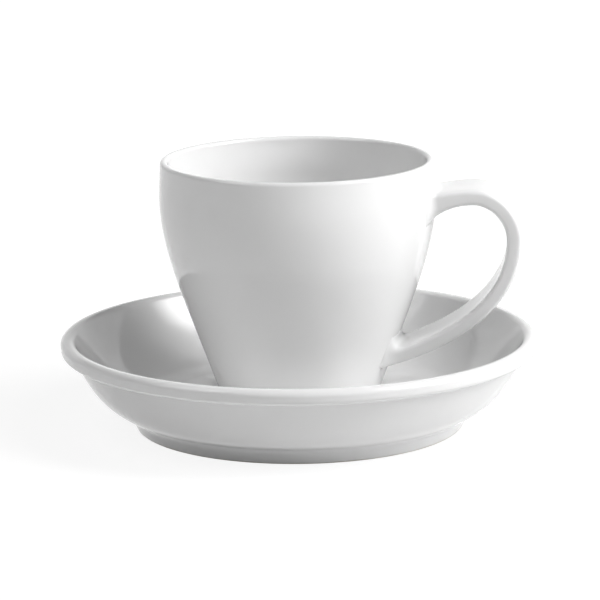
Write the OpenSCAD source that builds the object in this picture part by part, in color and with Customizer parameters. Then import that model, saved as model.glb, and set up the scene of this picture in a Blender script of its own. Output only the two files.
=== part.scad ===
// Espresso cup on its saucer, white glazed porcelain, in millimetres.
// The table is at Z = 0, the axis of both pieces is Z, and the handle points along +X.
// The cup and the saucer are turned shapes; the strap handle is swept along a curve and luted to the wall.

/* [Saucer] */
// Diameter over the rolled rim
saucer_d = 116; // [108:1:130]
// Height from the table to the top of the rim
saucer_h = 22.1; // [20:0.1:26]
// Diameter of the foot ring where it leaves the bowl
saucer_foot_d = 82.6; // [76:0.2:90]
// Height of the foot ring outside
saucer_foot_h = 3.5; // [2.6:0.1:4.6]
// How far the foot ring draws in towards the table
saucer_foot_taper = 1.4; // [0.6:0.1:2.2]
// Width of the foot ring at the table
saucer_foot_w = 3; // [2.2:0.1:4]
// How far down the ring the rounding between bowl and ring starts
saucer_foot_blend = 1.4; // [0.6:0.1:2]
// Depth of the hollow under the floor
saucer_recess = 2.2; // [1.4:0.1:3]
// Thickness of the floor
saucer_floor_t = 4; // [3.2:0.1:5]
// Diameter of the flat floor inside
saucer_flat_d = 66; // [58:1:72]
// Radius of the rolled rim's round
rim_roll_r = 1.95; // [1.6:0.05:2.3]
// Depth of the shallow groove that runs round the outside of the roll
rim_groove = 0.18; // [0:0.02:0.3]
// Diameter of the well that the cup stands in
well_d = 43.4; // [41:0.2:47]
// Depth of the well
well_depth = 0.7; // [0.4:0.1:1]

/* [Cup] */
// Height of the cup from its foot to its lip
cup_h = 59.4; // [56:0.2:66]
// Diameter over the lip
cup_rim_d = 65.8; // [63:0.1:69]
// Largest diameter, at the belly
cup_belly_d = 66.4; // [64:0.1:71]
// How far the belly lies under the top of the lip
cup_belly_drop = 9; // [7:0.2:12]
// Diameter where the wall leaves the foot
cup_waist_d = 39; // [37.6:0.2:41]
// Diameter of the foot ring
cup_foot_d = 37; // [35:0.2:37.6]
// Height of the foot ring
cup_foot_h = 1.9; // [1.3:0.1:2.6]
// Width of the foot ring where it stands
cup_foot_w = 2.4; // [1.8:0.1:3.2]
// Depth of the hollow under the cup
cup_recess = 1.5; // [0.8:0.1:2]
// Thickness of the floor
cup_floor_t = 3.4; // [2.6:0.1:4.4]
// Thickness of the wall at the waist
cup_waist_t = 3.7; // [3:0.1:4.6]
// Thickness of the wall at the belly
cup_wall_t = 2.9; // [2.3:0.1:3.5]
// Thickness of the rounded lip
cup_lip_t = 1.9; // [1.5:0.1:2.4]

/* [Handle] */
// Width of the strap across the hand
strap_w = 17; // [13:0.2:18.6]
// Thickness of the strap
strap_t = 3.6; // [3:0.1:4.4]
// Rounding of the strap's long edges
strap_edge_r = 1; // [0.9:0.05:1.45]
// How much the strap's outer face bulges
strap_crown = 0.1; // [0:0.05:0.7]
// Reach of the strap's middle past the belly, at the nose
handle_reach = 19; // [16:0.2:22]
// Distance of the highest point past the belly
crown_reach = 9.3; // [8:0.1:11]
// How far the upper root lies under the belly
upper_root_drop = 0.4; // [0:0.1:2]
// Height of the strap's highest point over the belly
crown_rise = 1.1; // [0.6:0.1:2.4]
// How far the nose lies under the belly
nose_drop = 9.1; // [7:0.1:12]
// Height of the lower root over the cup's foot
lower_root_h = 8.4; // [7:0.2:9.8]
// Flare of the roots at their sides and on the outside of the loop
root_fillet = 2; // [1.4:0.1:3]
// How far down the wall the flare inside the upper root spreads
upper_fillet_h = 4; // [2.8:0.1:5]
// How far along the strap that flare runs
upper_fillet_run = 8.4; // [6:0.2:9.6]
// How far up the wall the flare inside the lower root spreads
lower_fillet_h = 6.2; // [4:0.1:7]
// How far along the strap that flare runs
lower_fillet_run = 6.5; // [5.5:0.1:8]

/* [Hidden] */
$fn = 180;

// Steps along each curve of an outline, round each rounded edge, and round the saucer's roll
outline_steps = 14;
edge_steps = 5;
roll_steps = 30;
// Steps along each stretch of the handle, and how much they crowd together towards the lower root
strap_steps = [24, 18, 52];
crowding = 1.7;
// How far the strap's upper end reaches under the wall's face
root_depth = 2.7;
// Points across one broad face of the strap
face_points = 6;
// Rounding where a foot ring meets what it stands on, and where it meets the wall
foot_edge_r = 0.5;
// Width of the slope round the cup's well
well_slope_w = 1.2;
// Where the bowl leaves the roll below and inside, and where the groove lies, as angles round the roll
roll_start = -120;
roll_end = 150;
groove_angle = -4;
groove_half = 34;

// Heights of the saucer's floor and of the well, where the cup stands
floor_z = saucer_recess + saucer_floor_t;
seat_z = floor_z - well_depth;

// Point of a cubic curve with the four control points p, at share t of its way
function cubic_point(p, t) =
    pow(1 - t, 3) * p[0] + 3 * t * pow(1 - t, 2) * p[1] + 3 * t * t * (1 - t) * p[2] + pow(t, 3) * p[3];

// Cubic curve as points; the first point is left out, so that curves can follow each other
function cubic(p, steps = outline_steps, crowd = 1) =
    [for (i = [1:steps]) cubic_point(p, 1 - pow(1 - i / steps, crowd))];

// Arc round centre c from angle a0 to a1
function arc(c, r, a0, a1, steps = edge_steps) =
    [for (i = [0:steps]) let (a = a0 + (a1 - a0) * i / steps) c + r * [cos(a), sin(a)]];

// Point at shares of the way from point a to point b, one share for the radius and one for the height
function between(a, b, shares) = [a.x + (b.x - a.x) * shares.x, a.y + (b.y - a.y) * shares.y];

// SAUCER

saucer_foot_r = saucer_foot_d / 2;
roll_centre = [saucer_d / 2 - rim_roll_r, saucer_h - rim_roll_r];
// Radius of the roll at an angle round it, less where the groove dips
function roll_r(a) =
    rim_roll_r - rim_groove * (abs(a - groove_angle) < groove_half
        ? (1 + cos(180 * (a - groove_angle) / groove_half)) / 2 : 0);
function roll_point(a) = roll_centre + roll_r(a) * [cos(a), sin(a)];
// Where the bowl starts at the foot ring and ends under the roll, and where the inside leaves the flat floor
bowl_start = [saucer_foot_r, saucer_foot_h];
bowl_end = roll_point(roll_start);
inside_start = roll_point(roll_end);
inside_end = [saucer_flat_d / 2, floor_z];
// Pull of the curves towards a full shoulder, as shares of the way between their ends
bowl_low_shares = [0.581, 0.225];
bowl_high_shares = [0.734, 0.524];
bowl_pull = [bowl_start, between(bowl_start, bowl_end, bowl_low_shares),
             between(bowl_start, bowl_end, bowl_high_shares), bowl_end];
inside_high_shares = [0.185, 0.46];
inside_low_shares = [0.46, 1];
land_out_r = saucer_foot_r - saucer_foot_taper;
land_in_r = land_out_r - saucer_foot_w;
recess_r = land_in_r - saucer_recess;

// The corner between ring and bowl is rounded, over this share of the bowl's curve
blend_share = 0.08;
blend_pull_shares = [0.667, 0.667];
ring_side = bowl_start - [land_out_r, 0];
blend_start = bowl_start - saucer_foot_blend * ring_side / norm(ring_side);
blend_end = cubic_point(bowl_pull, blend_share);
bowl_curve =
    [for (i = [1:outline_steps]) cubic_point(bowl_pull, blend_share + (1 - blend_share) * i / outline_steps)];

saucer_outline = concat(
    [[0, saucer_recess], [recess_r, saucer_recess]],
    arc([land_in_r + foot_edge_r, foot_edge_r], foot_edge_r, 225, 270),
    arc([land_out_r - foot_edge_r, foot_edge_r], foot_edge_r, 270, 340),
    [blend_start],
    cubic([blend_start, between(blend_start, bowl_start, blend_pull_shares),
           between(blend_end, bowl_start, blend_pull_shares), blend_end], edge_steps),
    bowl_curve,
    [for (i = [1:roll_steps]) roll_point(roll_start + (roll_end - roll_start) * i / roll_steps)],
    cubic([inside_start, between(inside_start, inside_end, inside_high_shares),
           between(inside_start, inside_end, inside_low_shares), inside_end]),
    [[well_d / 2 + well_slope_w, floor_z], [well_d / 2, seat_z], [0, seat_z]]
);

module saucer() {
    color("white") rotate_extrude() polygon(saucer_outline);
}

// CUP BODY, drawn from its own foot and lifted onto the well

foot_r = cup_foot_d / 2;
waist = [cup_waist_d / 2, cup_foot_h + (cup_waist_d - cup_foot_d) / 2];
belly = [cup_belly_d / 2, cup_h - cup_belly_drop];
lip_r = cup_lip_t / 2;
lip_centre = [cup_rim_d / 2 - lip_r, cup_h - lip_r];
rim_out = [cup_rim_d / 2, lip_centre.y];
rim_in = [cup_rim_d / 2 - cup_lip_t, lip_centre.y];
inner_belly = [belly.x - cup_wall_t, belly.y];
inner_floor_h = cup_recess + cup_floor_t;
// The wall leans out evenly from the waist, then turns upright at the belly and draws in a little to the lip
lean_low_shares = [0.535, 0.436];
lean_high_shares = [1, 0.729];
draw_in_shares = [0, 0.4];
draw_end_shares = [0.75, 0.7];
// The inside follows the wall down to a round corner, whose place is set by shares of the wall's lean
corner_shares = [0.16, 0.145];
corner = between([waist.x - cup_waist_t, waist.y], inner_belly, corner_shares);
corner_low_shares = [0.12, 0.82];
corner_flat_shares = [0.45, 1];
// Inside the lip the wall grows from the lip's thickness to the belly's
thicken_start_shares = [0.25, 0.3];
thicken_end_shares = [1, 0.6];

outer_wall = concat(
    [waist],
    cubic([waist, between(waist, belly, lean_low_shares), between(waist, belly, lean_high_shares), belly]),
    cubic([belly, between(belly, rim_out, draw_in_shares), between(belly, rim_out, draw_end_shares), rim_out])
);
inner_wall = concat(
    cubic([rim_in, between(rim_in, inner_belly, thicken_start_shares),
           between(rim_in, inner_belly, thicken_end_shares), inner_belly]),
    cubic([inner_belly, between(corner, inner_belly, lean_high_shares),
           between(corner, inner_belly, lean_low_shares), corner]),
    cubic([corner, between(corner, [0, inner_floor_h], corner_low_shares),
           between(corner, [0, inner_floor_h], corner_flat_shares), [0, inner_floor_h]])
);
foot_outline = concat(
    [[0, cup_recess], [foot_r - cup_foot_w - cup_recess, cup_recess]],
    arc([foot_r - cup_foot_w + foot_edge_r, foot_edge_r], foot_edge_r, 225, 270),
    arc([foot_r - foot_edge_r, foot_edge_r], foot_edge_r, 270, 360),
    [[foot_r, cup_foot_h]]
);

// Radius of the wall's outside at height z over the cup's foot
wall_table = [for (p = outer_wall) [p.y, p.x]];
function wall_r(z) = lookup(z, wall_table);

module cup_body() {
    color("white")
        translate([0, 0, seat_z])
            rotate_extrude()
                polygon(concat(foot_outline, outer_wall,
                               arc(lip_centre, lip_r, 0, 180, 2 * edge_steps), inner_wall));
}

// The cup's outside as one full shape, which the handle is trimmed against
module cup_block() {
    rotate_extrude() polygon(concat([[0, 0], [foot_r, 0]], outer_wall, [[0, rim_out.y]]));
}

// HANDLE, a strap swept along three curves in the plane Y = 0: over the crown, round the nose, and down

crown_point = [belly.x + crown_reach, belly.y + crown_rise];
nose_point = [belly.x + handle_reach, belly.y - nose_drop];
// The strap starts and ends inside the wall, well under its surface
upper_end = [belly.x - root_depth, belly.y - upper_root_drop];
lower_end = [waist.x - strap_t, lower_root_h];
rise_shares = [0.378, 0.507];
level_shares = [0.751, 1];
turn_out_shares = [0.525, 0];
turn_down_shares = [1, 0.478];
drop_shares = [0, 0.482];
sweep_in_shares = [0.394, 0.746];

strap_curve = concat(
    [upper_end],
    cubic([upper_end, between(upper_end, crown_point, rise_shares),
           between(upper_end, crown_point, level_shares), crown_point], strap_steps[0]),
    cubic([crown_point, between(crown_point, nose_point, turn_out_shares),
           between(crown_point, nose_point, turn_down_shares), nose_point], strap_steps[1]),
    cubic([nose_point, between(nose_point, lower_end, drop_shares),
           between(nose_point, lower_end, sweep_in_shares), lower_end], strap_steps[2], crowding)
);

// Section of the strap: x is out from the curve, y is across the hand
half_w = strap_w / 2;
half_t = strap_t / 2;
flat_w = half_w - strap_edge_r;
flat_t = half_t - strap_edge_r;
function crowned(y) = strap_crown * (1 - pow(y / half_w, 2));
function broad_face(side) =
    [for (i = [1:face_points]) let (y = side * flat_w * (1 - 2 * i / (face_points + 1)))
        [side * half_t + (side > 0 ? crowned(y) : 0), y]];
strap_section = concat(
    arc([flat_t, flat_w], strap_edge_r, 90, 0),
    broad_face(1),
    arc([flat_t, -flat_w], strap_edge_r, 0, -90),
    arc([-flat_t, -flat_w], strap_edge_r, -90, -180),
    broad_face(-1),
    arc([-flat_t, flat_w], strap_edge_r, 180, 90)
);

// How far a fillet spreads at a gap from the wall, when it starts at the gap run and spreads h at the wall
function spread(gap, run, h) =
    let (share = max(0, 1 - max(gap, 0) / run)) h * (1 - sqrt(1 - share * share));

// A point of the strap near the wall, moved sideways and up or down along the wall, so that the root flares.
// The middle is the height of the curve there.
function flared(p, middle, run, h) =
    let (gap = norm([p.x, p.y]) - wall_r(p.z),
         y = p.y * (1 + spread(gap, root_fillet, root_fillet) / half_w),
         z = middle + (p.z - middle) * (1 + spread(gap, run, h) / half_t),
         reach = wall_r(z) + gap)
    gap >= max(run, root_fillet) ? p : [sqrt(reach * reach - y * y), y, z];

// Direction of the curve at its point i, and the section's points there
function along(i) =
    let (d = strap_curve[min(i + 1, len(strap_curve) - 1)] - strap_curve[max(i - 1, 0)]) d / norm(d);
function strap_ring(i) =
    let (d = along(i), c = strap_curve[i], upper_half = c.y > nose_point.y,
         loop_fillet = upper_half ? [upper_fillet_run, upper_fillet_h] : [lower_fillet_run, lower_fillet_h])
    [for (s = strap_section)
        let (fillet = s.x < 0 ? loop_fillet : [root_fillet, root_fillet])
        flared([c.x - s.x * d.y, s.y, c.y + s.x * d.x], c.y, fillet[0], fillet[1])];

ring_points = len(strap_section);
ring_count = len(strap_curve);
strap_points = [for (i = [0:ring_count - 1]) each strap_ring(i)];
strap_faces = concat(
    [[for (k = [0:ring_points - 1]) k]],
    [for (i = [0:ring_count - 2], k = [0:ring_points - 1])
        let (a = i * ring_points + k, b = i * ring_points + (k + 1) % ring_points)
        each [[a, a + ring_points, b + ring_points], [a, b + ring_points, b]]],
    [[for (k = [ring_points - 1:-1:0]) (ring_count - 1) * ring_points + k]]
);

module cup_handle() {
    color("white")
        translate([0, 0, seat_z])
            difference() {
                polyhedron(strap_points, strap_faces, convexity = 4);
                cup_block();
            }
}

saucer();
cup_body();
cup_handle();
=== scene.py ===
"""An espresso cup of white glazed porcelain, standing on its deep saucer.

Everything is in metres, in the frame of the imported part: the table is at Z = 0, the axis of
cup and saucer is Z, and the handle points along +X.
"""
import math

import bpy
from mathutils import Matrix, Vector


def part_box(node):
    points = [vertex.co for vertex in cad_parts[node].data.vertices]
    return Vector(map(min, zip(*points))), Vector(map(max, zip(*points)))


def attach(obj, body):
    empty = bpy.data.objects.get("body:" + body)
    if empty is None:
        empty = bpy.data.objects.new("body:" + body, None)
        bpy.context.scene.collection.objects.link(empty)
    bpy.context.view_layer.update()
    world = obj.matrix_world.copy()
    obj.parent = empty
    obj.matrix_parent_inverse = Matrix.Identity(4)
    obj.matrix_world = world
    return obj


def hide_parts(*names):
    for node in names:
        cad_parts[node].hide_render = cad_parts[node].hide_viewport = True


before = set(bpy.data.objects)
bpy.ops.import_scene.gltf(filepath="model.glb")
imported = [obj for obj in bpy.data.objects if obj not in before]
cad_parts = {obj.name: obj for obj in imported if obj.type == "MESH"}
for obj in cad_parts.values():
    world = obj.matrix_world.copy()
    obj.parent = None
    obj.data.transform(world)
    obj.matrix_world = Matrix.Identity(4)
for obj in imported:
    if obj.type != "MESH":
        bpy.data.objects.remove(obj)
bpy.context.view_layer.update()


# CAMERA
# A long lens that looks down at the cup by about 13 degrees, from a little to the handle's
# side, as the photograph was taken.

MM = 0.001
camera_distance = 758.8 * MM
camera_height = 199.5 * MM
camera_aside = 0.33 * MM
camera_lens = 192.9
camera_sensor_w = 36
handle_turn = math.radians(5.3)
camera_tilt = math.radians(-12.58)
camera_roll = math.radians(-0.65)

camera_data = bpy.data.cameras.new("photo_camera")
camera_data.lens = camera_lens
camera_data.sensor_width = camera_sensor_w
camera = bpy.data.objects.new("photo_camera", camera_data)
bpy.context.scene.collection.objects.link(camera)
camera.location = (
    camera_distance * math.sin(handle_turn) + camera_aside,
    -camera_distance * math.cos(handle_turn),
    camera_height,
)
camera.rotation_euler = (math.pi / 2 + camera_tilt, 0, handle_turn)
camera.rotation_euler.rotate_axis("Z", camera_roll)
bpy.context.scene.camera = camera
bpy.context.scene.view_settings.view_transform = "Standard"


# SAUCER
# One heavy jiggered dish of white porcelain: a ring foot, a full bowl, a flat floor with a
# shallow well for the cup, and a thick rolled rim. It is glazed all over except for the land
# of the ring foot, which was wiped clean so that it wouldn't stick to the kiln shelf.

saucer_low, saucer_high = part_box("saucer")
saucer_r = saucer_high[0]
saucer_h = saucer_high[2]
saucer_foot_r = 41.3 * MM
saucer_foot_h = 3.5 * MM
saucer_foot_taper = 1.4 * MM
saucer_foot_w = 3 * MM
saucer_foot_blend = 1.4 * MM
saucer_recess = 2.2 * MM
saucer_floor_z = 6.2 * MM
saucer_flat_r = 33 * MM
well_r = 21.7 * MM
well_slope_w = 1.2 * MM
seat_z = 5.5 * MM
foot_edge_r = 0.5 * MM

# The rounding of the foot's outer edge ends at this angle, in degrees. The rim's roll and its
# groove are given as such angles too.
saucer_foot_edge_end = 340
rim_roll_r = 1.95 * MM
rim_roll_start = -120
rim_roll_end = 150
rim_groove = 0.18 * MM
rim_groove_middle = -4
rim_groove_reach = 34

# Where a curve's two control points lie, as shares of the way out and up between its ends.
bowl_pulls = ((0.581, 0.225), (0.734, 0.524))
inside_pulls = ((0.185, 0.46), (0.46, 1))
foot_blend_pull = 0.667

foot_edge_steps = 6
foot_blend_steps = 10
foot_blend_points = 4
bowl_steps = 50
roll_steps = 48
inside_steps = 40
turn_steps = 240
weld_distance = 0.002 * MM
smooth_angle = math.radians(40)

porcelain_white = (0.83, 0.83, 0.83, 1)
pooled_glaze = (0.76, 0.76, 0.76, 1)
bare_clay = (0.62, 0.59, 0.54, 1)
bare_land_h = 0.35 * MM
pooled_share = 0.2
pooled_contrast = 0.5
glaze_ior = 1.52
glaze_roughness = 0.065
glaze_unevenness = 0.03
clay_roughness = 0.72
cloud_scale = 38.0
ripple_scale = 120.0
grain_scale = 2600.0
cloud_relief = 0.06
ripple_relief = 0.02
grain_relief = 0.05
glaze_edge_wander = 0.5 * MM
glaze_edge_blur = 0.08 * MM


def cubic(a, b, c, d, steps, crowding=1):
    """Points of a cubic curve with these control points, without the first one. They lie
    closer together towards the end where crowding is over 1."""
    points = []
    for i in range(1, steps + 1):
        t = 1 - (1 - i / steps) ** crowding
        weights = ((1 - t) ** 3, 3 * t * (1 - t) ** 2, 3 * t * t * (1 - t), t ** 3)
        points.append(sum((w * p for w, p in zip(weights, (a, b, c, d))), Vector((0, 0))))
    return points


def between(a, b, share_out, share_up):
    """The point at these shares of the way from a to b."""
    return Vector((a.x + (b.x - a.x) * share_out, a.y + (b.y - a.y) * share_up))


def curve(a, b, pulls, steps, crowding=1):
    """A cubic curve from a to b, whose control points are shares of the way between them."""
    return cubic(a, between(a, b, *pulls[0]), between(a, b, *pulls[1]), b, steps, crowding)


def at_angle(centre, radius, angle):
    """The point this far from a centre, at this angle in degrees."""
    angle = math.radians(angle)
    return centre + radius * Vector((math.cos(angle), math.sin(angle)))


def arc(centre, radius, start, end, steps):
    """Points round a centre from one angle to another, in degrees."""
    return [at_angle(centre, radius, start + (end - start) * i / steps) for i in range(steps + 1)]


def foot_land(inner_r, outer_r, outer_end):
    """The land of a ring foot with its rounded edges. The inner one starts halfway round,
    where the slope of the recess meets it, and the outer one ends at this angle."""
    return [
        *arc(Vector((inner_r + foot_edge_r, foot_edge_r)), foot_edge_r,
             225, 270, foot_edge_steps),
        *arc(Vector((outer_r - foot_edge_r, foot_edge_r)), foot_edge_r,
             270, outer_end, foot_edge_steps + 2),
    ]


def rim_roll():
    """The rolled rim, from under the bowl's edge over the top, with its faint groove outside."""
    centre = Vector((saucer_r - rim_roll_r, saucer_h - rim_roll_r))
    points = []
    for i in range(roll_steps + 1):
        angle = rim_roll_start + (rim_roll_end - rim_roll_start) * i / roll_steps
        dip = max(0, 1 - abs(angle - rim_groove_middle) / rim_groove_reach)
        radius = rim_roll_r - rim_groove * math.sin(dip * math.pi / 2) ** 2
        points.append(at_angle(centre, radius, angle))
    return points


def turned(name, outline):
    """A closed outline from axis to axis, drawn by extruding one vertex and spun round Z."""
    bpy.ops.object.select_all(action="DESELECT")
    bpy.ops.mesh.primitive_plane_add(size=MM, location=(0, 0, 0))
    piece = bpy.context.object
    piece.name = piece.data.name = name
    bpy.ops.object.mode_set(mode="EDIT")
    bpy.ops.mesh.merge(type="CENTER")
    bpy.ops.transform.translate(value=(outline[0].x, 0, outline[0].y))
    for a, b in zip(outline, outline[1:]):
        step = (b.x - a.x, 0, b.y - a.y)
        bpy.ops.mesh.extrude_region_move(TRANSFORM_OT_translate={"value": step})
    bpy.ops.mesh.select_all(action="SELECT")
    bpy.ops.mesh.spin(steps=turn_steps, angle=2 * math.pi, center=(0, 0, 0), axis=(0, 0, 1))
    bpy.ops.mesh.select_all(action="SELECT")
    bpy.ops.mesh.remove_doubles(threshold=weld_distance)
    bpy.ops.mesh.normals_make_consistent(inside=False)
    bpy.ops.object.mode_set(mode="OBJECT")
    bpy.ops.object.shade_smooth_by_angle(angle=smooth_angle)
    return piece


class Socket:
    """A shader socket, or a number, with the operators that the materials use."""

    def __init__(self, tree, value):
        self.tree, self.value = tree, value

    def node(self, kind, settings=(), output=0, **inputs):
        """Adds a node with these settings, sets or links its sockets, by name or as _0 for the
        first one, and wraps one of its outputs."""
        made = self.tree.nodes.new(kind)
        for key, setting in dict(settings).items():
            setattr(made, key, setting)
        for key, given in inputs.items():
            socket = made.inputs[int(key[1:]) if key[0] == "_" else key.replace("_", " ")]
            given = given.value if isinstance(given, Socket) else given
            if isinstance(given, bpy.types.NodeSocket):
                self.tree.links.new(given, socket)
            else:
                socket.default_value = given
        return Socket(self.tree, made.outputs[output])

    def maths(self, operation, *others):
        values = {f"_{i}": value for i, value in enumerate((self, *others))}
        return self.node("ShaderNodeMath", {"operation": operation}, **values)

    def __add__(self, other): return self.maths("ADD", other)
    def __radd__(self, other): return Socket(self.tree, other).maths("ADD", self)
    def __sub__(self, other): return self.maths("SUBTRACT", other)
    def __rsub__(self, other): return Socket(self.tree, other).maths("SUBTRACT", self)
    def __mul__(self, other): return self.maths("MULTIPLY", other)
    def __rmul__(self, other): return Socket(self.tree, other).maths("MULTIPLY", self)

    def step(self, start, end):
        """0 at start, 1 at end, and smooth between."""
        return self.node(
            "ShaderNodeMapRange", {"interpolation_type": "SMOOTHSTEP", "clamp": True},
            Value=self, From_Min=start, From_Max=end, To_Min=0.0, To_Max=1.0)

    def axis(self, letter):
        return self.node("ShaderNodeSeparateXYZ", output=letter, Vector=self)

    def mixed(self, colour_a, colour_b):
        """Colour a where this is 0 and colour b where it is 1, through a Mix node's colour
        sockets, which are its inputs 6 and 7 and its output 2."""
        return self.node("ShaderNodeMix", {"data_type": "RGBA"}, output=2,
                         _0=self, _6=colour_a, _7=colour_b)

    def feeds(self, socket):
        self.tree.links.new(self.value, socket)


def porcelain(name, bare_below=-1):
    """White glazed porcelain: glossy, very slightly uneven, thicker where the glaze ran
    together, and bare clay below a height on the wiped foot ring."""
    material = bpy.data.materials.new(name)
    material.use_nodes = True
    shader = material.node_tree.nodes["Principled BSDF"]
    start = Socket(material.node_tree, 0.0)
    place = start.node("ShaderNodeTexCoord", output="Object")
    noise = {"noise_dimensions": "3D", "normalize": True}
    cloud = start.node("ShaderNodeTexNoise", noise, Vector=place, Scale=cloud_scale, Detail=3.0)
    ripple = start.node("ShaderNodeTexNoise", noise, Vector=place, Scale=ripple_scale, Detail=2.0)
    grain = start.node("ShaderNodeTexNoise", noise, Vector=place, Scale=grain_scale, Detail=4.0)
    edge = place.axis("Z") + (ripple - 0.5) * glaze_edge_wander
    glazed = edge.step(bare_below - glaze_edge_blur, bare_below + glaze_edge_blur)

    pooled = ((cloud - 0.5) * pooled_contrast + pooled_share).step(0.0, 1.0)
    colour = glazed.mixed(bare_clay, pooled.mixed(porcelain_white, pooled_glaze))
    colour.feeds(shader.inputs["Base Color"])

    glaze_over_clay = cloud * glaze_unevenness + (glaze_roughness - clay_roughness)
    roughness = glazed * glaze_over_clay + clay_roughness
    roughness.feeds(shader.inputs["Roughness"])

    glaze_relief = ripple * ripple_relief + cloud * cloud_relief
    relief = glazed * glaze_relief + (1 - glazed) * grain * grain_relief
    bump = start.node("ShaderNodeBump", Strength=1.0, Distance=1.0 * MM, Height=relief)
    bump.feeds(shader.inputs["Normal"])
    shader.inputs["IOR"].default_value = glaze_ior
    return material


foot_out = saucer_foot_r - saucer_foot_taper
foot_in = foot_out - saucer_foot_w
ring_side = Vector((saucer_foot_taper, saucer_foot_h)).normalized()
bowl_start = Vector((saucer_foot_r, saucer_foot_h))
roll = rim_roll()
bowl = curve(bowl_start, roll[0], bowl_pulls, bowl_steps)
# The corner between ring and bowl is rounded, over the first few points of the bowl's curve.
blend_start = bowl_start - saucer_foot_blend * ring_side
blend_end = bowl[foot_blend_points - 1]
blend_pulls = [between(end, bowl_start, foot_blend_pull, foot_blend_pull)
               for end in (blend_start, blend_end)]
inside_end = Vector((saucer_flat_r, saucer_floor_z))
saucer_outline = [
    Vector((0, saucer_recess)),
    Vector((foot_in - saucer_recess, saucer_recess)),
    *foot_land(foot_in, foot_out, saucer_foot_edge_end),
    blend_start,
    *cubic(blend_start, *blend_pulls, blend_end, foot_blend_steps),
    *bowl[foot_blend_points:],
    *roll[1:],
    *curve(roll[-1], inside_end, inside_pulls, inside_steps),
    Vector((well_r + well_slope_w, saucer_floor_z)),
    Vector((well_r, seat_z)),
    Vector((0, seat_z)),
]
saucer = turned("saucer_dish", saucer_outline)
saucer.data.materials.append(porcelain("saucer_porcelain", bare_land_h))
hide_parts("saucer")
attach(saucer, "saucer")


# CUP BODY
# A thick cup, turned in a mould and glazed: a ring foot, a wall that leans out evenly and
# turns upright at the belly, and a rounded lip. The foot's land is bare clay.

cup_low, cup_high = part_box("cup_body")
cup_h = cup_high[2] - seat_z
cup_rim_r = 32.9 * MM
cup_lip_r = 0.95 * MM
cup_wall_t = 2.9 * MM
cup_waist_t = 3.7 * MM
cup_foot_r = 18.5 * MM
cup_foot_w = 2.4 * MM
cup_foot_side_h = 1.9 * MM
cup_foot_edge_end = 360
cup_recess = 1.5 * MM
cup_floor_t = 3.4 * MM
waist = Vector((19.5 * MM, 2.9 * MM))
belly = Vector((33.2 * MM, 50.4 * MM))

wall_pulls = ((0.535, 0.436), (1, 0.729))
outer_lip_pulls = ((0, 0.4), (0.75, 0.7))
inner_lip_pulls = ((0.25, 0.3), (1, 0.6))
floor_pulls = ((0.12, 0.82), (0.45, 1))
corner_shares = (0.16, 0.145)
wall_steps = 48
under_lip_steps = 12
lip_steps = 20
inner_wall_steps = 40
floor_steps = 24

cup_foot_in = cup_foot_r - cup_foot_w
lip_centre = Vector((cup_rim_r - cup_lip_r, cup_h - cup_lip_r))
rim_out = Vector((cup_rim_r, lip_centre.y))
rim_in = Vector((cup_rim_r - 2 * cup_lip_r, lip_centre.y))
inner_belly = Vector((belly.x - cup_wall_t, belly.y))
inner_waist = Vector((waist.x - cup_waist_t, waist.y))
corner = between(inner_waist, inner_belly, *corner_shares)
inner_floor = Vector((0, cup_recess + cup_floor_t))
outer_wall = [
    waist,
    *curve(waist, belly, wall_pulls, wall_steps),
    *curve(belly, rim_out, outer_lip_pulls, under_lip_steps),
]
# The inside runs down from the belly, with the outer wall's control points in reverse.
inner_wall = cubic(inner_belly, between(corner, inner_belly, *wall_pulls[1]),
                   between(corner, inner_belly, *wall_pulls[0]), corner, inner_wall_steps)
cup_outline = [
    Vector((0, cup_recess)),
    Vector((cup_foot_in - cup_recess, cup_recess)),
    *foot_land(cup_foot_in, cup_foot_r, cup_foot_edge_end),
    Vector((cup_foot_r, cup_foot_side_h)),
    *outer_wall,
    *arc(lip_centre, cup_lip_r, 0, 180, lip_steps)[1:],
    *curve(rim_in, inner_belly, inner_lip_pulls, under_lip_steps),
    *inner_wall,
    *curve(corner, inner_floor, floor_pulls, floor_steps),
]
on_seat = Vector((0, seat_z))
cup_body = turned("cup_body_turned", [point + on_seat for point in cup_outline])
cup_body.data.materials.append(porcelain("cup_porcelain", seat_z + bare_land_h))
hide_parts("cup_body")
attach(cup_body, "cup")


# HANDLE
# A broad strap of clay, bent by hand or cast, and stuck to the wall with slip. Its roots
# flare into the wall, most of all on the inside of the loop, where the glaze fills the corner.

strap_w = 17 * MM
strap_t = 3.6 * MM
strap_edge_r = 1 * MM
strap_edge_segments = 6
strap_crown = 0.1 * MM
strap_crown_cuts = 11
outer_side_tolerance = 0.01 * MM
strap_smooth_angle = math.radians(50)
tail_thinning_share = 0.12
root_depth = 2.2 * MM
root_fillet = 2 * MM
upper_fillet_h = 4 * MM
upper_fillet_run = 8.4 * MM
lower_fillet_h = 5.5 * MM
lower_fillet_run = 4 * MM
lower_flare_h = 1.7 * MM
lower_flare_run = 3.5 * MM
lower_underside_fillet = 0.6 * MM

crown_point = belly + Vector((9.3 * MM, 1.1 * MM))
nose_point = belly + Vector((19 * MM, -9.1 * MM))
upper_end = belly + Vector((-2.7 * MM, -0.4 * MM))
lower_end = Vector((15.9 * MM, 10.4 * MM))
upper_run_pulls = ((0.378, 0.507), (0.751, 1))
nose_pulls = ((0.525, 0), (1, 0.478))
lower_run_pulls = ((0, 0.51), (0.428, 0.85))
upper_run_steps = 48
nose_steps = 26
lower_run_steps = 100
lower_run_crowding = 1.7


def wall_r(z):
    """Radius of the cup's outside at a height over the cup's foot."""
    for a, b in zip(outer_wall, outer_wall[1:]):
        if a.y <= z <= b.y:
            return a.x + (b.x - a.x) * (z - a.y) / (b.y - a.y)
    return outer_wall[0].x if z < outer_wall[0].y else outer_wall[-1].x


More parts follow.
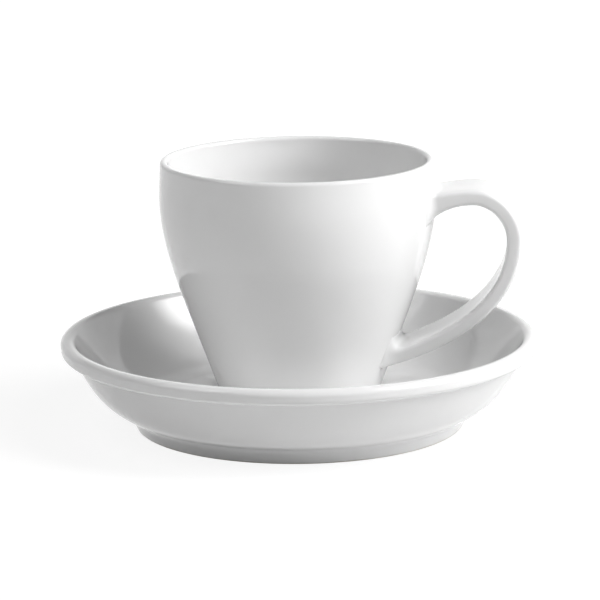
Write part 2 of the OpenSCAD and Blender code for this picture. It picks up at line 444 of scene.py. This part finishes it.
whole_curve = [
    upper_end,
    *curve(upper_end, crown_point, upper_run_pulls, upper_run_steps),
    *curve(crown_point, nose_point, nose_pulls, nose_steps),
    *curve(nose_point, lower_end, lower_run_pulls, lower_run_steps, lower_run_crowding),
]
# The lower run ends inside the wall.
strap_curve = [p for p in whole_curve if p.y > nose_point.y or p.x > wall_r(p.y) - root_depth]


def slope(i):
    """The direction of the strap's curve at its point i, as an angle over the level."""
    d = strap_curve[min(i + 1, len(strap_curve) - 1)] - strap_curve[max(i - 1, 0)]
    return math.atan2(d.y, d.x)


def spread(gap, run, height):
    """How far a fillet stands out at a gap from the wall."""
    share = max(0, 1 - max(gap, 0) / run)
    return height * (1 - math.sqrt(1 - share * share))


def strap_section(name):
    """A flat face across the strap: rounded corners, and a slightly crowned outer side."""
    bpy.ops.object.select_all(action="DESELECT")
    bpy.ops.mesh.primitive_plane_add(size=1, location=(0, 0, 0))
    piece = bpy.context.object
    piece.name = piece.data.name = name
    bpy.ops.object.mode_set(mode="EDIT")
    bpy.ops.transform.resize(value=(strap_t, strap_w, 1))
    bpy.ops.mesh.bevel(offset=strap_edge_r, segments=strap_edge_segments, affect="VERTICES")
    bpy.ops.mesh.select_mode(type="EDGE")
    bpy.ops.mesh.select_all(action="DESELECT")
    bpy.ops.object.mode_set(mode="OBJECT")
    for edge in piece.data.edges:
        start, end = (piece.data.vertices[v].co for v in edge.vertices)
        edge.select = abs(start.y - end.y) > strap_w / 2
    bpy.ops.object.mode_set(mode="EDIT")
    bpy.ops.mesh.subdivide(number_cuts=strap_crown_cuts)
    bpy.ops.mesh.select_mode(type="VERT")
    bpy.ops.object.mode_set(mode="OBJECT")
    flat_w = strap_w / 2 - strap_edge_r
    for vertex in piece.data.vertices:
        if vertex.co.x > strap_t / 2 - outer_side_tolerance:
            vertex.co.x += strap_crown * (1 - min(1, abs(vertex.co.y) / flat_w) ** 2)
    return piece


def sweep(piece):
    """Stands the section up at the upper root and extrudes it along the curve, ring by ring."""
    bpy.ops.object.mode_set(mode="EDIT")
    bpy.ops.mesh.select_all(action="SELECT")
    upright = math.pi / 2 + slope(0)
    bpy.ops.transform.rotate(value=upright, orient_axis="Y", center_override=(0, 0, 0))
    bpy.ops.transform.translate(value=(strap_curve[0].x, 0, strap_curve[0].y))
    for i in range(1, len(strap_curve)):
        here = strap_curve[i]
        step = here - strap_curve[i - 1]
        bpy.ops.mesh.extrude_region_move(TRANSFORM_OT_translate={"value": (step.x, 0, step.y)})
        bpy.ops.transform.rotate(value=slope(i) - slope(i - 1), orient_axis="Y",
                                 center_override=(here.x, 0, here.y))
    bpy.ops.mesh.select_all(action="SELECT")
    bpy.ops.mesh.normals_make_consistent(inside=False)
    bpy.ops.object.mode_set(mode="OBJECT")


def shaped(co):
    """A point of the strap, drawn in where the strap thins towards its lower root, and moved
    out along the wall near a root, so that the root flares."""
    flat = Vector((co.x, co.z))
    middle = min(range(len(strap_curve)), key=lambda i: (strap_curve[i] - flat).length)
    centre = strap_curve[middle]
    tail_share = max(0, (nose_point.y - centre.y) / (nose_point.y - lower_end.y))
    off = (flat - centre) * (1 - tail_thinning_share * tail_share)
    co = Vector((centre.x + off.x, co.y, centre.y + off.y))
    gap = max(math.hypot(co.x, co.y) - wall_r(co.z), -root_depth)
    if gap >= upper_fillet_run:
        return co

    angle = slope(middle)
    inside_loop = off.y * math.cos(angle) < off.x * math.sin(angle)
    if centre.y > nose_point.y:
        flare_run, flare_h = root_fillet, root_fillet
        inside_fillet = (upper_fillet_run, upper_fillet_h)
        outside_fillet = (root_fillet, root_fillet)
    else:
        flare_run, flare_h = lower_flare_run, lower_flare_h
        inside_fillet = (lower_fillet_run, lower_fillet_h)
        outside_fillet = (lower_underside_fillet, lower_underside_fillet)
    run, height = inside_fillet if inside_loop else outside_fillet
    y = co.y * (1 + spread(gap, flare_run, flare_h) / (strap_w / 2))
    z = centre.y + (co.z - centre.y) * (1 + spread(gap, run, height) / (strap_t / 2))
    return Vector((math.sqrt((wall_r(z) + gap) ** 2 - y * y), y, z))


handle = strap_section("cup_handle_strap")
sweep(handle)
for vertex in handle.data.vertices:
    vertex.co = shaped(vertex.co) + Vector((0, 0, seat_z))
bpy.ops.object.shade_smooth_by_angle(angle=strap_smooth_angle)
handle.data.materials.append(porcelain("handle_porcelain"))
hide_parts("cup_handle")
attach(handle, "cup")


# TABLE AND LIGHT
# A plain white table in a white room with a dimmer ceiling, which the glaze reflects. The
# table stays white to the eye apart from the shadow. A broad softbox stands on the right, a weak
# lamp on the left, and the table and the room fill in the rest.

table_w = 6
# The table as it is seen: a grey that takes the shadow, under a glow that makes it white.
table_grey = (0.2, 0.2, 0.2, 1)
near_glow = (0.86, 0.86, 0.86, 1)
far_glow = (1, 1, 1, 1)
glow_near_r = 0.1
glow_far_r = 0.6
# The table as the light's bounces find it.
table_bounce = (0.75, 0.75, 0.75, 1)

room_white = (1, 1, 1, 1)
room_fill = 0.19
# The ceiling starts at these heights, given as sines of the angle over the table.
ceiling_start = math.sin(math.radians(23.5))
ceiling_full = math.sin(math.radians(26.5))
ceiling_dimming = 0.75

lamp_distance = 1
softbox_turn = math.radians(80)
softbox_rise = math.radians(38)
softbox_w = 0.75
softbox_h = 1.3
softbox_middle_share = 0.1
softbox_brightness = 11.5
cloth_dark = (0, 0, 0, 1)
cloth_white = (1, 1, 1, 1)
fill_turn = math.radians(-60)
fill_rise = math.radians(50)
fill_w = 0.5
fill_power = 1.7


def emptied_material(name):
    """A new material without its usual shader, and a socket to start from."""
    material = bpy.data.materials.new(name)
    material.use_nodes = True
    material.node_tree.nodes.remove(material.node_tree.nodes["Principled BSDF"])
    return material, Socket(material.node_tree, 0.0)


def seen(tree):
    """1 for what the camera sees, straight or in a reflection, and 0 for the light's bounces."""
    camera_ray, glossy_ray, transmission_ray = (
        Socket(tree, 0.0).node("ShaderNodeLightPath", output=f"Is {kind} Ray")
        for kind in ("Camera", "Glossy", "Transmission"))
    return camera_ray.maths("MAXIMUM", glossy_ray).maths("MAXIMUM", transmission_ray)


def table_top(name):
    """White, and whiter still far from the cup, where the lamps reach it less."""
    material, start = emptied_material(name)
    place = start.node("ShaderNodeTexCoord", output="Object")
    distance = start.node("ShaderNodeVectorMath", {"operation": "LENGTH"}, output="Value", _0=place)
    glow = distance.step(glow_near_r, glow_far_r).mixed(near_glow, far_glow)
    shown = start.node("ShaderNodeAddShader",
                       _0=start.node("ShaderNodeBsdfDiffuse", Color=table_grey),
                       _1=start.node("ShaderNodeEmission", Color=glow, Strength=1.0))
    surface = start.node("ShaderNodeMixShader", _0=seen(material.node_tree),
                         _1=start.node("ShaderNodeBsdfDiffuse", Color=table_bounce), _2=shown)
    surface.feeds(material.node_tree.nodes["Material Output"].inputs["Surface"])
    return material


def softbox_cloth(name):
    """The lit cloth of a softbox: brightest in the middle and dark at its edges."""
    material, start = emptied_material(name)
    place = start.node("ShaderNodeTexCoord", output="Object")
    across = place.axis("X").maths("ABSOLUTE").step(softbox_w / 2, softbox_w * softbox_middle_share)
    up = place.axis("Y").maths("ABSOLUTE").step(softbox_h / 2, softbox_h * softbox_middle_share)
    light = (across * up).mixed(cloth_dark, cloth_white)
    lit = start.node("ShaderNodeEmission", Color=light, Strength=softbox_brightness)
    lit.feeds(material.node_tree.nodes["Material Output"].inputs["Surface"])
    return material


def stand(lamp, turn, rise):
    """Stands a lamp facing the cup, turned from the front towards the handle and raised."""
    lamp.location = lamp_distance * Vector(
        (math.sin(turn) * math.cos(rise), -math.cos(turn) * math.cos(rise), math.sin(rise)))
    lamp.rotation_euler = lamp.location.to_track_quat("Z", "Y").to_euler()


bpy.ops.object.select_all(action="DESELECT")
bpy.ops.mesh.primitive_plane_add(size=table_w, location=(0, 0, 0))
table = bpy.context.object
table.name = table.data.name = "white_table"
table.data.materials.append(table_top("white_table"))

room = bpy.data.worlds.new("white_room")
room.use_nodes = True
bpy.context.scene.world = room
sky = room.node_tree.nodes["Background"]
sky.inputs["Color"].default_value = room_white
towards = Socket(room.node_tree, 0.0).node("ShaderNodeTexCoord", output="Generated")
shown = 1 - towards.axis("Z").step(ceiling_start, ceiling_full) * ceiling_dimming
strength = seen(room.node_tree) * (shown - room_fill) + room_fill
strength.feeds(sky.inputs["Strength"])

bpy.ops.object.select_all(action="DESELECT")
bpy.ops.mesh.primitive_plane_add(size=1, location=(0, 0, 0))
softbox = bpy.context.object
softbox.name = softbox.data.name = "softbox"
bpy.ops.object.mode_set(mode="EDIT")
bpy.ops.transform.resize(value=(softbox_w, softbox_h, 1))
bpy.ops.object.mode_set(mode="OBJECT")
softbox.data.materials.append(softbox_cloth("softbox_cloth"))
softbox.visible_camera = False
stand(softbox, softbox_turn, softbox_rise)

fill_data = bpy.data.lights.new("fill_lamp", "AREA")
fill_data.size = fill_w
fill_data.energy = fill_power
fill_lamp = bpy.data.objects.new("fill_lamp", fill_data)
bpy.context.scene.collection.objects.link(fill_lamp)
stand(fill_lamp, fill_turn, fill_rise)
